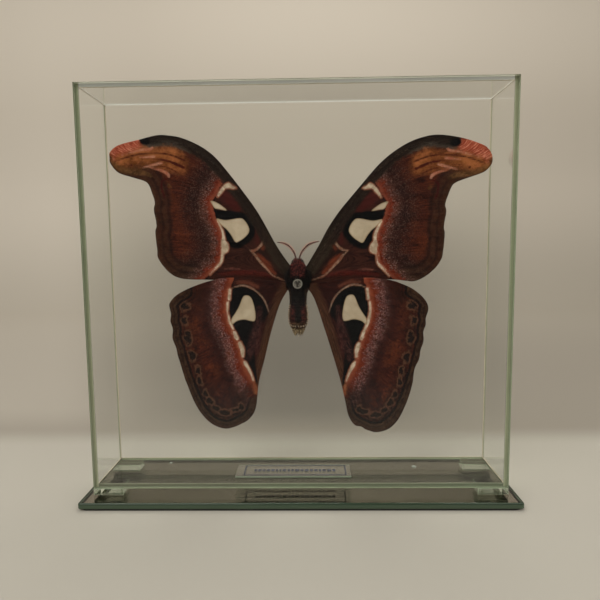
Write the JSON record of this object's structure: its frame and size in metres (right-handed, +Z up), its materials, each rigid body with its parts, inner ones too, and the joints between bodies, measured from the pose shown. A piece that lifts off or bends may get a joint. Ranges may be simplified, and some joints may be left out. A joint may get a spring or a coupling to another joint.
{
  "type": "spread moth in a glass display case",
  "caption": "Large spread silk moth fixed inside a closed rectangular glass case, raised on corner blocks above a dark mirror base.",
  "frame": {"origin": "middle of the underside of the base, on the surface that the part stands on", "axes": "+X to the right along the width seen from the front, +Y to the back, +Z up; the moth's back faces -Y"},
  "size_m": [0.209, 0.052, 0.1977],
  "materials": {
    "clear_glass": "polished clear float glass with green edges",
    "mirror_glass": "polished dark bronze mirror glass with green edges",
    "backing": "matt black backing",
    "label_film": "clear film with a dark printed border",
    "stud_clear": "clear polished stud",
    "wing_scales": "matt scales, maroon and black with cream windows and red and white bands",
    "body_fur": "short maroon and black fur",
    "antenna_horn": "matt reddish brown comb"
  },
  "bodies": {
    "root": {"base_backing": "backing", "base_plate": "mirror_glass", "corner_block_front_left": "clear_glass", "corner_block_front_right": "clear_glass", "corner_block_rear_left": "clear_glass", "corner_block_rear_right": "clear_glass", "case_front": "clear_glass", "case_back": "clear_glass", "case_left": "clear_glass", "case_right": "clear_glass", "case_top": "clear_glass", "case_floor": "clear_glass", "label": "label_film", "mounting_stud": "stud_clear", "moth_body": "body_fur", "left_forewing": "wing_scales", "right_forewing": "wing_scales", "left_hindwing": "wing_scales", "right_hindwing": "wing_scales", "left_antenna": "antenna_horn", "right_antenna": "antenna_horn"}
  },
  "joints": []
}
